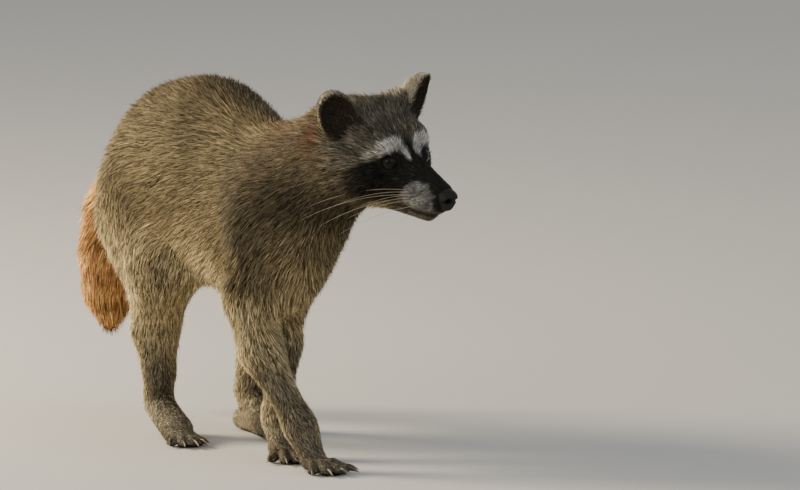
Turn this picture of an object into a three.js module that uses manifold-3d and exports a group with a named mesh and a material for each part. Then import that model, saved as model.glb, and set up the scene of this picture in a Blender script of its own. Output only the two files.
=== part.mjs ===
// A walking raccoon as a life-size display model, in millimetres: +X forward, +Y to its left, +Z up.
// The flesh with its coat is one smooth field, meshed piece by piece and parted with thin cuts.
import * as THREE from "three";
import { mergeVertices } from "three/addons/utils/BufferGeometryUtils.js";
import Module from "manifold-3d";

const wasm = await Module();
wasm.setup();

const LEFT = 1;
const RIGHT = -1;

// ---------------------------------------------------------------------------
// Driving dimensions
// ---------------------------------------------------------------------------
const backHeight = 262; // top of the arched back, coat included
const hipToShoulder = 196;
const eyeRadius = 7.2;
const earHeight = 34;
const earWidth = 29;
const gap = 0.4; // left between neighbouring pieces
const headYaw = 20; // degrees to the left of the body
const headPitch = 11; // degrees nose down
const headRoll = 4; // degrees, right side down
const headAt = [262, 31, 233]; // middle of the head, level with the ears

const bellyHeight = 0.41 * backHeight;
const trunkMiddle = (backHeight + bellyHeight) / 2;
const trunkHalf = (backHeight - bellyHeight) / 2;

// Length of a grid cell for each kind of piece: small where the form is small.
const cells = {
  trunk: 22, neck: 16, tail: 14, thigh: 16, arm: 14, shin: 11.5, foot: 9, head: 10.5, ear: 6, nose: 4,
};

// ---------------------------------------------------------------------------
// Fields: functions of a point that are negative inside a form
// ---------------------------------------------------------------------------
const blob = ([cx, cy, cz], [rx, ry, rz]) => (x, y, z) => {
  const [u, v, w] = [x - cx, y - cy, z - cz];
  const near = Math.hypot(u / rx, v / ry, w / rz);
  const slope = Math.hypot(u / rx ** 2, v / ry ** 2, w / rz ** 2);
  return slope < 1e-9 ? -Math.min(rx, ry, rz) : (near * (near - 1)) / slope;
};

// A limb segment from a to b whose radius goes from ra to rb; sideways it is `thin` times as thick.
const bone = (a, b, ra, rb, thin = 1) => {
  const along = b.map((v, i) => v - a[i]);
  const length2 = along.reduce((sum, v) => sum + v * v, 0);
  return (x, y, z) => {
    const [u, v, w] = [x - a[0], y - a[1], z - a[2]];
    const t = Math.min(1, Math.max(0, (u * along[0] + v * along[1] + w * along[2]) / length2));
    const side = (v - t * along[1]) / thin;
    return Math.hypot(u - t * along[0], side, w - t * along[2]) - (ra + t * (rb - ra));
  };
};

const blend = (k, ...fields) => (x, y, z) =>
  fields.map((f) => f(x, y, z)).reduce((a, b) => {
    const near = Math.max(k - Math.abs(a - b), 0) / k;
    return Math.min(a, b) - (near * near * k) / 4;
  });

const chain = (k, joints, thin = 1) =>
  blend(k, ...joints.slice(1).map(([p, r], i) => bone(joints[i][0], p, joints[i][1], r, thin)));

const placed = (field, matrix) => {
  const inverse = matrix.clone().invert();
  const p = new THREE.Vector3();
  return (x, y, z) => {
    p.set(x, y, z).applyMatrix4(inverse);
    return field(p.x, p.y, p.z);
  };
};

// ---------------------------------------------------------------------------
// Legs: joints from the body down, each [[x, y, z], radius with coat]
// ---------------------------------------------------------------------------
const legs = {
  front_right: {
    side: RIGHT,
    top: [[188, -19, 178], 25],
    elbow: [[188, -32, 120], 18.5],
    middle: [[200, -28, 82], 14.5],
    wrist: [[232, -12, 31], 9.8],
    palm: [[243, -7, 8.8], 10],
    heading: 12,
  },
  front_left: {
    side: LEFT,
    top: [[192, 18, 176], 23],
    elbow: [[151, 13, 116], 16.5],
    middle: [[155, 8, 80], 13.5],
    wrist: [[168, 0, 30], 9.8],
    palm: [[179, -3, 8.8], 10],
    heading: 2,
  },
  hind_right: {
    side: RIGHT,
    top: [[4, -28, 172], 40],
    knee: [[48, -37, 126], 27],
    middle: [[36, -37, 78], 16],
    hock: [[34, -33, 46], 9],
    ankle: [[27, -31, 28], 9],
    ball: [[70, -35, 9.2], 10.5],
    heel: [[21, -31, 19], 8],
    heading: -4,
  },
  hind_left: {
    side: LEFT,
    top: [[4, 28, 172], 40],
    knee: [[54, 37, 126], 26],
    middle: [[46, 38, 78], 15],
    hock: [[40, 38, 46], 9],
    ankle: [[32, 37, 28], 9],
    ball: [[74, 36, 9.2], 10.5],
    heel: [[26, 37, 8], 9],
    heading: 4,
  },
};

const frontLeg = (leg) => chain(14, [leg.top, leg.elbow, leg.middle, leg.wrist, leg.palm]);

const hindLeg = (leg) => {
  const limb = chain(20, [leg.top, leg.knee, leg.middle, leg.hock, leg.ankle], 0.9);
  const hamstring = bone([-22, leg.top[0][1], 150], [26, leg.knee[0][1], 106], 30, 17);
  const sole = bone(leg.heel[0], leg.ball[0], leg.heel[1], leg.ball[1]);
  const instep = bone(leg.ankle[0], leg.ball[0], 9, 9.5);
  return blend(8, limb, hamstring, sole, instep);
};

// ---------------------------------------------------------------------------
// Trunk and neck
// ---------------------------------------------------------------------------
const trunk = blend(
  26,
  blob([-2, 0, trunkMiddle - 1], [64, 51, trunkHalf - 12]), // rump
  blob([54, 0, trunkMiddle + 5], [80, 53, trunkHalf - 5]), // arched loins
  blob([124, 0, trunkMiddle - 11], [76, 43, trunkHalf - 6]), // ribs
  blob([hipToShoulder - 8, 0, trunkMiddle - 10], [46, 33, trunkHalf - 10]), // shoulders
);
const neck = blend(
  18,
  bone([192, 2, 198], [238, 16, 227], 36, 36), // nape
  bone([204, 4, 172], [240, 18, 206], 26, 24), // throat
);

// ---------------------------------------------------------------------------
// Head, in its own frame: origin level with the ears, +X to the nose
// ---------------------------------------------------------------------------
const headFrame = new THREE.Matrix4()
  .makeTranslation(...headAt)
  .multiply(new THREE.Matrix4().makeRotationFromEuler(
    new THREE.Euler(...[headRoll, headPitch, headYaw].map(THREE.MathUtils.degToRad), "ZYX"),
  ));
const noseTip = [84.5, 0, -18];
const eyeAt = (side) => [31.3, 14.4 * side, -1.8];

const pair = (make) => [LEFT, RIGHT].map(make);
const headForm = blend(
  10,
  blob([-4, 0, 2], [35, 38, 31]), // cranium
  ...pair((s) => blob([4, 22 * s, -12], [27, 21, 22])), // cheeks
  ...pair((s) => blob([22.5, 14 * s, 9], [14.5, 13, 13])), // brows
  ...pair((s) => blob([-5, 26 * s, 25], [12, 15, 13])), // tufts behind the ears
  bone([28, 0, -10], [68, 0, -20.5], 17, 9), // muzzle
  bone([28, 0, 0], [71, 0, -14], 8, 6), // bridge of the nose
  ...pair((s) => blob([60, 7 * s, -22], [14, 9, 8.5])), // whisker pads
  bone([16, 0, -29], [60, 0, -34], 13, 5.5), // lower jaw
);

// ---------------------------------------------------------------------------
// Tail: hangs behind the right haunch, thickest below its middle
// ---------------------------------------------------------------------------
const tail = chain(12, [
  [[-48, -3, 184], 16],
  [[-80, -8, 172], 18],
  [[-99, -10, 148], 21],
  [[-106, -10, 116], 22],
  [[-112, -8, 84], 18],
  [[-112, -6, 59], 8],
]);

// ---------------------------------------------------------------------------
// Meshing a field: one vertex for each grid cell that the surface crosses
// ---------------------------------------------------------------------------
function onSurface(field, point, reach) {
  const step = 0.5;
  for (let turn = 0; turn < 3; turn += 1) {
    const [x, y, z] = point;
    const here = field(x, y, z);
    const slope = [
      field(x + step, y, z) - field(x - step, y, z),
      field(x, y + step, z) - field(x, y - step, z),
      field(x, y, z + step) - field(x, y, z - step),
    ].map((v) => v / (2 * step));
    const steep = Math.max(slope.reduce((sum, v) => sum + v * v, 0), 0.1);
    const move = Math.min(reach, Math.max(-reach, here / steep));
    slope.forEach((v, i) => (point[i] -= move * v));
  }
  return point;
}

const corners = [0, 1, 2, 3, 4, 5, 6, 7].map((i) => [i & 1, (i >> 1) & 1, i >> 2]);
const edges = corners.flatMap((c, i) =>
  [1, 2, 4].filter((bit) => !(i & bit)).map((bit) => [i, i | bit]));

// `box` is [[low x, y, z], [high x, y, z]]; outside it the field counts as empty.
function meshOfField(field, box, cell) {
  const counts = box[0].map((low, i) => Math.ceil((box[1][i] - low) / cell) + 1);
  const [nx, ny, nz] = counts;
  const place = (i, j, k) => [i, j, k].map((n, axis) => box[0][axis] + n * cell);
  const at = (i, j, k) => i + nx * (j + ny * k);
  const values = new Float32Array(nx * ny * nz);
  for (let k = 0; k < nz; k += 1)
    for (let j = 0; j < ny; j += 1)
      for (let i = 0; i < nx; i += 1) {
        const rim = [i, j, k].some((n, axis) => n === 0 || n === counts[axis] - 1);
        values[at(i, j, k)] = rim ? cell : field(...place(i, j, k)) || 1e-6;
      }

  const points = [];
  const vertexOf = new Map();
  for (let k = 0; k < nz - 1; k += 1)
    for (let j = 0; j < ny - 1; j += 1)
      for (let i = 0; i < nx - 1; i += 1) {
        const value = corners.map(([a, b, c]) => values[at(i + a, j + b, k + c)]);
        const crossed = edges.filter(([p, q]) => value[p] < 0 !== value[q] < 0);
        if (!crossed.length) continue;
        const middle = [0, 1, 2].map((axis) => crossed.reduce((sum, [p, q]) => {
          const t = value[p] / (value[p] - value[q]);
          return sum + corners[p][axis] + t * (corners[q][axis] - corners[p][axis]);
        }, 0) / crossed.length);
        const start = place(i + middle[0], j + middle[1], k + middle[2]);
        const inBox = start.every((v, axis) => v > box[0][axis] + cell && v < box[1][axis] - cell);
        vertexOf.set(at(i, j, k), points.length);
        points.push(inBox ? onSurface(field, start, 0.4 * cell) : start);
      }

  const index = [];
  const reach = (a, b) => Math.hypot(...points[a].map((v, i) => v - points[b][i]));
  const quad = (a, b, c, d) => {
    if (reach(a, c) < reach(b, d)) index.push(a, b, c, a, c, d);
    else index.push(b, c, d, b, d, a);
  };
  const steps = [1, nx, nx * ny];
  for (let k = 0; k < nz - 1; k += 1)
    for (let j = 0; j < ny - 1; j += 1)
      for (let i = 0; i < nx - 1; i += 1)
        steps.forEach((step, axis) => {
          const here = at(i, j, k);
          const inside = values[here] < 0;
          if (inside === values[here + step] < 0) return;
          const [u, v] = [steps[(axis + 1) % 3], steps[(axis + 2) % 3]];
          const ring = [here - u - v, here - v, here, here - u].map((n) => vertexOf.get(n));
          quad(...(inside ? ring : ring.reverse()));
        });

  const geometry = new THREE.BufferGeometry();
  geometry.setAttribute("position", new THREE.Float32BufferAttribute(points.flat(), 3));
  geometry.setIndex(index);
  return geometry;
}

// ---------------------------------------------------------------------------
// Solids
// ---------------------------------------------------------------------------
function solidOf(geometry, matrix = new THREE.Matrix4()) {
  const bare = geometry.clone().applyMatrix4(matrix);
  Object.keys(bare.attributes).filter((n) => n !== "position").forEach((n) => bare.deleteAttribute(n));
  const merged = mergeVertices(bare, 1e-3);
  return new wasm.Manifold(new wasm.Mesh({
    numProp: 3,
    vertProperties: merged.attributes.position.array,
    triVerts: new Uint32Array(merged.index.array),
  }));
}

function geometryOf(solid) {
  const { vertProperties, triVerts } = solid.getMesh();
  const geometry = new THREE.BufferGeometry();
  geometry.setAttribute("position", new THREE.BufferAttribute(vertProperties, 3));
  geometry.setIndex(new THREE.BufferAttribute(triVerts, 1));
  return geometry;
}

const frameAt = (at, turn = [0, 0, 0]) =>
  new THREE.Matrix4().compose(
    new THREE.Vector3(...at),
    new THREE.Quaternion().setFromEuler(new THREE.Euler(...turn.map(THREE.MathUtils.degToRad))),
    new THREE.Vector3(1, 1, 1),
  );

// A frame at `from` whose +Z points to `to`.
function frameAlong(from, to) {
  const [a, b] = [new THREE.Vector3(...from), new THREE.Vector3(...to)];
  const turn = new THREE.Quaternion().setFromUnitVectors(new THREE.Vector3(0, 0, 1), b.sub(a).normalize());
  return new THREE.Matrix4().compose(a, turn, new THREE.Vector3(1, 1, 1));
}

// Cutters are convex and are asked for twice: as they are, and wider by the gap.
const boxCutter = (matrix, low, high) => (wider = 0) => {
  const size = low.map((v, i) => high[i] - v + 2 * wider);
  const middle = low.map((v, i) => (v + high[i]) / 2);
  return solidOf(new THREE.BoxGeometry(...size).translate(...middle), matrix);
};
const ballCutter = (at, radii) => (wider = 0) =>
  solidOf(new THREE.SphereGeometry(1, 14, 8).scale(...radii.map((r) => r + wider)).translate(...at));

const belowFloor = boxCutter(new THREE.Matrix4(), [-400, -300, -40], [500, 300, 0]);

// ---------------------------------------------------------------------------
// Whole flesh
// ---------------------------------------------------------------------------
const legFields = Object.values(legs).map((leg) => (leg.wrist ? frontLeg(leg) : hindLeg(leg)));
const flesh = blend(16, blend(22, trunk, ...legFields), blend(20, neck, placed(headForm, headFrame)), tail);

function boundsOf(solid, margin) {
  const { min, max } = solid.boundingBox();
  return [min.map((v) => v - margin), max.map((v) => v + margin)];
}

const taken = []; // cutters used so far: later pieces keep clear of them

// The flesh inside `cutter`, less what earlier pieces took.
function cutPiece(cutter, cell, field = flesh) {
  const region = cutter();
  let piece = solidOf(meshOfField(field, boundsOf(region, 3 * cell), cell)).intersect(region);
  taken.forEach((other) => (piece = piece.subtract(other(gap))));
  taken.push(cutter);
  return biggest(piece.subtract(belowFloor()));
}

function biggest(solid) {
  return solid.decompose().reduce((a, b) => (a.volume() > b.volume() ? a : b));
}

// ---------------------------------------------------------------------------
// Digits and claws
// ---------------------------------------------------------------------------
// For each digit from the inner to the outer: spread in degrees, reach from the palm, radius.
const fingers = [[44, 20, 4.2], [20, 26, 4.5], [2, 28, 4.5], [-16, 26, 4.5], [-38, 21, 4.2]];
const toes = [[34, 16, 4.2], [15, 26, 4.6], [2, 28, 4.7], [-12, 27, 4.6], [-30, 22, 4.3]];
const clawLength = 9;
const clawRadius = 1.7;

// A digit's joints in the ground plane: knuckle, tip and the point that its claw reaches.
function digitOf(leg, [spread, reach, radius], root) {
  const angle = THREE.MathUtils.degToRad(leg.heading + spread * leg.side * -1);
  const ahead = (d, z) => [root[0] + d * Math.cos(angle), root[1] + d * Math.sin(angle), z];
  return {
    knuckle: ahead(5, radius + 2.5),
    tip: ahead(reach, radius - 0.8),
    clawRoot: ahead(reach + radius + 0.2, radius + 0.2),
    angle,
    radius,
  };
}

function digitSolid({ knuckle, tip, radius }) {
  const length = Math.hypot(...tip.map((v, i) => v - knuckle[i]));
  const capsule = new THREE.CapsuleGeometry(radius, length, 2, 6);
  capsule.rotateX(Math.PI / 2).translate(0, 0, length / 2);
  return solidOf(capsule, frameAlong(knuckle, tip));
}

// A claw is a cone that curves down to its point.
function clawSolid({ clawRoot, angle }, wider = 0) {
  const cone = new THREE.ConeGeometry(clawRadius + wider, clawLength, 5, 2);
  cone.rotateZ(-Math.PI / 2).translate(clawLength / 2 - wider, 0, 0);
  const position = cone.attributes.position;
  for (let i = 0; i < position.count; i += 1) {
    const t = position.getX(i) / clawLength;
    position.setZ(i, position.getZ(i) * 1.25 - 2.6 * t * t);
  }
  return solidOf(cone, frameAt(clawRoot, [0, 0, THREE.MathUtils.radToDeg(angle)]));
}

// ---------------------------------------------------------------------------
// Ears, eyes and nose
// ---------------------------------------------------------------------------
const earTilt = 31; // degrees outward
const earTurn = 26; // degrees that the opening faces outward from straight ahead
const earFrame = (side) => headFrame.clone()
  .multiply(frameAt([0, 31 * side, 16]))
  .multiply(frameAt([0, 0, 0], [-earTilt * side, -4, 0]))
  .multiply(frameAt([0, 0, 0], [0, 0, earTurn * side]));

// A rounded shell, hollow in front, in a frame with +X out of its opening and +Z to its tip.
const earForm = (x, y, z) => {
  const shell = blob([0, 0, 0.32 * earHeight], [11, earWidth / 2, 0.7 * earHeight]);
  const hollow = blob([10, 0, 0.42 * earHeight], [11.5, earWidth / 2 - 4, 0.54 * earHeight]);
  return -blend(4, (...at) => -shell(...at), hollow)(x, y, z);
};

const noseForm = blend(
  4,
  blob([noseTip[0] - 7.5, 0, noseTip[2] + 1], [7.8, 7.9, 6.4]),
  blob([noseTip[0] - 8.5, 0, noseTip[2] - 4.8], [6, 4.5, 4.5]),
);

// ---------------------------------------------------------------------------
// Materials
// ---------------------------------------------------------------------------
const material = (colour, roughness, metalness = 0) =>
  new THREE.MeshStandardMaterial({ color: colour, roughness, metalness });
const finishes = {
  body: material(0x6b5a40, 0.9),
  face: material(0x8a8478, 0.9),
  tail: material(0x9a6a3a, 0.9),
  eye: material(0x0d0a08, 0.08),
  nose: material(0x14120f, 0.4),
  claw: material(0x2b2620, 0.5),
};

const raccoon = new THREE.Group();
function addPiece(name, solid, finish) {
  const mesh = new THREE.Mesh(geometryOf(solid), finish);
  mesh.name = name;
  raccoon.add(mesh);
}

// ---------------------------------------------------------------------------
// Pieces, from the ends of the limbs inward: each is cut off where the next begins
// ---------------------------------------------------------------------------
const still = new THREE.Matrix4();

// `low` and `high` are the ends of the foot along X; `at` is the pad that the digits spread from.
function addFoot(name, leg, [low, high], at, wrist, digits) {
  const [, y] = at;
  const cutter = boxCutter(still, [low, y - 40, -10], [high, y + 40, wrist]);
  const rays = digits.map((digit) => digitOf(leg, digit, at));
  let foot = cutPiece(cutter, cells.foot);
  rays.forEach((ray) => (foot = foot.add(digitSolid(ray))));
  foot = foot.subtract(belowFloor());
  rays.forEach((ray, i) => {
    foot = foot.subtract(clawSolid(ray, gap));
    addPiece(`${name}_claw_${i + 1}`, clawSolid(ray).subtract(belowFloor()), finishes.claw);
  });
  addPiece(name, biggest(foot), finishes.body);
}

// The limb between two joints, from `before` the first to `past` the second.
function addShaft(name, [from], [to], half, before, past) {
  const length = Math.hypot(...to.map((v, i) => v - from[i]));
  const cutter = boxCutter(frameAlong(from, to), [-half, -half, -before], [half, half, length + past]);
  addPiece(name, cutPiece(cutter, cells.shin), finishes.body);
}

// The upper limb, where it bulges from the trunk between two joints.
function addUpperLimb(name, [from], [to], shift, radii, cell) {
  const middle = from.map((v, i) => (v + to[i]) / 2 + shift[i]);
  addPiece(name, cutPiece(ballCutter(middle, radii), cell), finishes.body);
}

const { front_right: frontRight, front_left: frontLeft, hind_right: hindRight, hind_left: hindLeft } = legs;
const crossing = 221.5; // the X between the two hands
addFoot("front_right_hand", frontRight, [crossing, 310], frontRight.palm[0], 29, fingers);
addFoot("front_left_hand", frontLeft, [140, crossing], frontLeft.palm[0], 28, fingers);
addFoot("hind_right_foot", hindRight, [-30, 125], hindRight.ball[0], 31, toes);
addFoot("hind_left_foot", hindLeft, [-30, 125], hindLeft.ball[0], 31, toes);

addShaft("front_right_forearm", frontRight.wrist, frontRight.elbow, 26, 14, -16);
addShaft("front_left_forearm", frontLeft.wrist, frontLeft.elbow, 26, 14, -16);
addShaft("hind_right_shin", hindRight.ankle, hindRight.middle, 32, 14, 10);
addShaft("hind_left_shin", hindLeft.ankle, hindLeft.middle, 32, 14, 10);

for (const [name, leg] of [["front_right", frontRight], ["front_left", frontLeft]])
  addUpperLimb(`${name}_upper_arm`, leg.top, leg.elbow, [0, 12 * leg.side, -7], [36, 23, 56], cells.arm);
for (const [name, leg] of [["hind_right", hindRight], ["hind_left", hindLeft]])
  addUpperLimb(`${name}_thigh`, leg.top, leg.knee, [-2, 16 * leg.side, -12], [58, 30, 74], cells.thigh);

// The head is hollowed for the nose and the eyes, and the ears stand on it.
let head = cutPiece(boxCutter(headFrame, [-22, -80, -52], [110, 80, 70]), cells.head);
const headBox = boundsOf(head, 12);
const earBox = boundsOf(head, 61);
const grown = (field, by) => (x, y, z) => field(x, y, z) - by;

const noseAtHead = placed(noseForm, headFrame);
addPiece("nose", solidOf(meshOfField(noseAtHead, headBox, cells.nose)), finishes.nose);
head = head.subtract(solidOf(meshOfField(grown(noseAtHead, gap), headBox, cells.nose)));

for (const [name, side] of [["left", LEFT], ["right", RIGHT]]) {
  const middle = new THREE.Vector3(...eyeAt(side)).applyMatrix4(headFrame).toArray();
  const eyeball = (radius) => solidOf(new THREE.SphereGeometry(radius, 12, 7), frameAt(middle));
  addPiece(`eye_${name}`, eyeball(eyeRadius), finishes.eye);
  head = head.subtract(eyeball(eyeRadius + gap));
  const ear = solidOf(meshOfField(placed(earForm, earFrame(side)), earBox, cells.ear));
  const swollen = head.translate(headAt.map((v) => -v)).scale(1.02).translate(headAt);
  addPiece(`ear_${name}`, biggest(ear.subtract(swollen)), finishes.face);
}
addPiece("head", biggest(head), finishes.face);

const neckAxis = frameAlong([212, 7, 210], [250, 23.5, 235]);
addPiece("neck", cutPiece(boxCutter(neckAxis, [-90, -90, 0], [90, 90, 60]), cells.neck), finishes.body);
addPiece("tail", cutPiece(boxCutter(still, [-190, -80, 20], [-70, 50, 230]), cells.tail), finishes.tail);
addPiece("trunk", cutPiece(boxCutter(still, [-90, -90, -10], [300, 90, 300]), cells.trunk), finishes.body);

// The origin is on the floor, under the middle of the whole.
const extent = new THREE.Box3().setFromObject(raccoon);
const centre = extent.getCenter(new THREE.Vector3());
raccoon.position.set(-centre.x, -centre.y, -extent.min.z);

export default raccoon;
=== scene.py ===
"""The walking raccoon: skin, coat, eyes, nose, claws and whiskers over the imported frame.

The plan of the flesh is a field in the animal's own frame, in millimetres: +X forward, +Y to
its left, +Z up. The skin is the field's surface sunk by the coat's depth, and every tuft of the
coat is rooted on that skin.
"""

import itertools
import math

import bpy
import numpy as np
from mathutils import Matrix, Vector


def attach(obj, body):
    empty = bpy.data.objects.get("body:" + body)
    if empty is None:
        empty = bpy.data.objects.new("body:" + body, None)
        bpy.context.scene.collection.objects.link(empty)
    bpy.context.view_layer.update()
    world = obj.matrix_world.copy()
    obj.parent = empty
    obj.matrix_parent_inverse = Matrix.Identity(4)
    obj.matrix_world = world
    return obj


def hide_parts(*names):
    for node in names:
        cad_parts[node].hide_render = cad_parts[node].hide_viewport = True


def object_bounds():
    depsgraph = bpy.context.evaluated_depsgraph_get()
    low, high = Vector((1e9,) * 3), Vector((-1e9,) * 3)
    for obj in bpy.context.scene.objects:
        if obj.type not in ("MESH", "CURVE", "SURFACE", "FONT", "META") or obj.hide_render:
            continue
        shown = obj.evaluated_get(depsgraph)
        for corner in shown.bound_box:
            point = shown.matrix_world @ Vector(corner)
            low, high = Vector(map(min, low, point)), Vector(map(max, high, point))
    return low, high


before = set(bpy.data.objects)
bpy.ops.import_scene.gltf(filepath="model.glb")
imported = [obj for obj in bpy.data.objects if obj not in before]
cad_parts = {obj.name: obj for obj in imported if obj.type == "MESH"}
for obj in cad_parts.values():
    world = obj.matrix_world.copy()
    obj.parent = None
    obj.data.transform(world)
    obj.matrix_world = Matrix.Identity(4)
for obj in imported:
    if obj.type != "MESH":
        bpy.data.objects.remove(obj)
cad_low, cad_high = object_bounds()

LEFT, RIGHT = 1, -1
random = np.random.default_rng(11)

# ---- Driving dimensions ----
back_height = 262
hip_to_shoulder = 196
eye_radius = 7.2
ear_height = 34
ear_width = 29
head_turn = (4, 11, 20)  # roll, pitch and yaw in degrees
head_at = np.array((262.0, 31.0, 233.0))
row_shift = np.array((-102.7770, -7.1201, 0.0))  # from the animal's frame to the row's
mm_per_m = 1000

belly_share = 0.41  # of the back's height
belly_height = belly_share * back_height
trunk_middle = (back_height + belly_height) / 2
trunk_half = (back_height - belly_height) / 2


# ---- Fields: functions of points, negative inside a form ----
def length_of(v):
    return np.sqrt(np.einsum("ij,ij->i", v, v))


def unit(v):
    return v / np.maximum(length_of(v), 1e-9)[:, None]


def ramp(value, start, end):
    """0 before start, 1 after end, smooth between."""
    t = np.clip((value - start) / (end - start), 0, 1)
    return t * t * (3 - 2 * t)


def bump_of(value):
    """1 at 0, and next to nothing beyond 2."""
    return np.exp(-(value**2))


def mix(a, b, share):
    share = np.asarray(share)
    if share.ndim == 1:
        share = share[:, None]
    return a + (b - a) * share


def blob(centre, radii):
    centre, radii = np.array(centre, float), np.array(radii, float)

    def field(p):
        v = (p - centre) / radii
        near = length_of(v)
        return near * (near - 1) / np.maximum(length_of(v / radii), 1e-6)

    return field


def bone(a, b, ra, rb, thin=1.0):
    """A limb segment from a to b; sideways it is `thin` times as thick."""
    a, b = np.array(a, float), np.array(b, float)
    along = b - a

    def field(p):
        v = p - a
        t = np.clip(v @ along / (along @ along), 0, 1)
        v = v - t[:, None] * along
        v[:, 1] /= thin
        return length_of(v) - (ra + t * (rb - ra))

    return field


def soft_min(k, a, b):
    near = np.maximum(k - np.abs(a - b), 0) / k
    return np.minimum(a, b) - near * near * k / 4


def soft_max(k, a, b):
    return -soft_min(k, -a, -b)


def blend(k, *fields):
    def field(p):
        value = fields[0](p)
        for other in fields[1:]:
            value = soft_min(k, value, other(p))
        return value

    return field


def links_of(joints):
    """Each link's ends and its radius at each, from a list of (point, radius)."""
    return [(a, b, ra, rb) for (a, ra), (b, rb) in zip(joints, joints[1:])]


def chain(k, joints, thin=1.0):
    return blend(k, *(bone(*link, thin) for link in links_of(joints)))


def turn_about(axis, degrees):
    c, s = math.cos(math.radians(degrees)), math.sin(math.radians(degrees))
    i, j = (axis + 1) % 3, (axis + 2) % 3
    turn = np.eye(3)
    turn[i, i] = turn[j, j] = c
    turn[i, j], turn[j, i] = -s, s
    return turn


def slope(field, p, step=0.4):
    """The field at p, and how it grows along each axis."""
    here = field(p)
    growth = np.empty_like(p)
    for axis in range(3):
        beside = p.copy()
        beside[:, axis] += step
        growth[:, axis] = (field(beside) - here) / step
    return here, growth


def settle(field, p, level, reach, step=0.4):
    """Moves each point along the slope to where the field has that level."""
    here, growth = slope(field, p, step)
    steep = np.maximum(np.einsum("ij,ij->i", growth, growth), 0.1)
    move = np.clip((here - level) / steep, -reach, reach)
    return p - growth * move[:, None]


hash_primes = (73856093, 19349663, 83492791)  # one for each axis
seed_prime, seed_start = 60493, 977
mixing_prime = 1274126177
noise_origin = 512  # cells; keeps every cell's number above 0


def noise(p, size, seed=0):
    """Smooth random numbers from -1 to 1 that change over about `size`."""
    q = np.asarray(p, float) / size + noise_origin
    cell = np.floor(q).astype(np.int64)
    t = q - cell
    t = t * t * (3 - 2 * t)
    total = np.zeros(len(q))
    for corner in itertools.product((0, 1), repeat=3):
        x, y, z = ((cell + corner) * hash_primes).T
        number = x ^ y ^ z ^ (seed * seed_prime + seed_start)
        number = ((number ^ (number >> 13)) * mixing_prime) & 0x7FFFFFFF
        weight = np.prod(np.where(corner, t, 1 - t), axis=1)
        total += weight * (((number >> 8) & 0xFFFF) / 32767.5 - 1)
    return total


# ---- Flesh, coat included ----
roll, pitch, yaw = head_turn
head_axes = turn_about(2, yaw) @ turn_about(1, pitch) @ turn_about(0, roll)


def to_head(p):
    return (p - head_at) @ head_axes


def from_head(q):
    return np.asarray(q, float) @ head_axes.T + head_at


legs = {  # joints, ball and heel as (point, radius); the foot's heading in degrees
    "front_right": dict(
        side=RIGHT, heading=12,
        joints=[((188, -19, 178), 25), ((188, -32, 120), 18.5), ((200, -28, 82), 14.5),
                ((232, -12, 31), 9.8), ((243, -7, 8.8), 10)],
    ),
    "front_left": dict(
        side=LEFT, heading=2,
        joints=[((192, 18, 176), 23), ((151, 13, 116), 16.5), ((155, 8, 80), 13.5),
                ((168, 0, 30), 9.8), ((179, -3, 8.8), 10)],
    ),
    "hind_right": dict(
        side=RIGHT, heading=-4,
        joints=[((4, -28, 172), 40), ((48, -37, 126), 27), ((36, -37, 78), 16),
                ((34, -33, 46), 9), ((27, -31, 28), 9)],
        ball=((70, -35, 9.2), 10.5), heel=((21, -31, 19), 8),
    ),
    "hind_left": dict(
        side=LEFT, heading=4,
        joints=[((4, 28, 172), 40), ((54, 37, 126), 26), ((46, 38, 78), 15),
                ((40, 38, 46), 9), ((32, 37, 28), 9)],
        ball=((74, 36, 9.2), 10.5), heel=((26, 37, 8), 9),
    ),
}


def leg_field(leg):
    if "heel" not in leg:
        return chain(14, leg["joints"])
    top, knee = leg["joints"][0][0], leg["joints"][1][0]
    ankle = leg["joints"][-1][0]
    limb = chain(20, leg["joints"], 0.9)
    hamstring = bone((-22, top[1], 150), (26, knee[1], 106), 30, 17)
    sole = bone(leg["heel"][0], leg["ball"][0], leg["heel"][1], leg["ball"][1])
    instep = bone(ankle, leg["ball"][0], 9, 9.5)
    return blend(8, limb, hamstring, sole, instep)


leg_fields = {name: leg_field(leg) for name, leg in legs.items()}

trunk = blend(
    26,
    blob((-2, 0, trunk_middle - 1), (64, 51, trunk_half - 12)),  # rump
    blob((54, 0, trunk_middle + 5), (80, 53, trunk_half - 5)),  # arched loins
    blob((124, 0, trunk_middle - 11), (76, 43, trunk_half - 6)),  # ribs
    blob((hip_to_shoulder - 8, 0, trunk_middle - 10), (46, 33, trunk_half - 10)),  # shoulders
)
neck = blend(
    18,
    bone((192, 2, 198), (238, 16, 227), 36, 36),  # nape
    bone((204, 4, 172), (240, 18, 206), 26, 24),  # throat
)
nose_tip = (84.5, 0, -18)


def eye_at(side):
    return np.array((31.3, 14.4 * side, -1.8))


def pair(make):
    return [make(LEFT), make(RIGHT)]


head_form = blend(
    10,
    blob((-4, 0, 2), (35, 38, 31)),  # cranium
    *pair(lambda s: blob((4, 22 * s, -12), (27, 21, 22))),  # cheeks
    *pair(lambda s: blob((22.5, 14 * s, 9), (14.5, 13, 13))),  # brows
    *pair(lambda s: blob((-5, 26 * s, 25), (12, 15, 13))),  # tufts behind the ears
    bone((28, 0, -10), (68, 0, -20.5), 17, 9),  # muzzle
    bone((28, 0, 0), (71, 0, -14), 8, 6),  # bridge of the nose
    *pair(lambda s: blob((60, 7 * s, -22), (14, 9, 8.5))),  # whisker pads
    bone((16, 0, -29), (60, 0, -34), 13, 5.5),  # lower jaw
)
tail_joints = [
    ((-48, -3, 184), 16),
    ((-80, -8, 172), 18),
    ((-99, -10, 148), 21),
    ((-106, -10, 116), 22),
    ((-112, -8, 84), 18),
    ((-112, -6, 59), 8),
]
tail = chain(12, tail_joints)
tail_top, tail_drop, tail_rings = 184, 125, 5.2  # height, length downwards, dark rings


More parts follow.
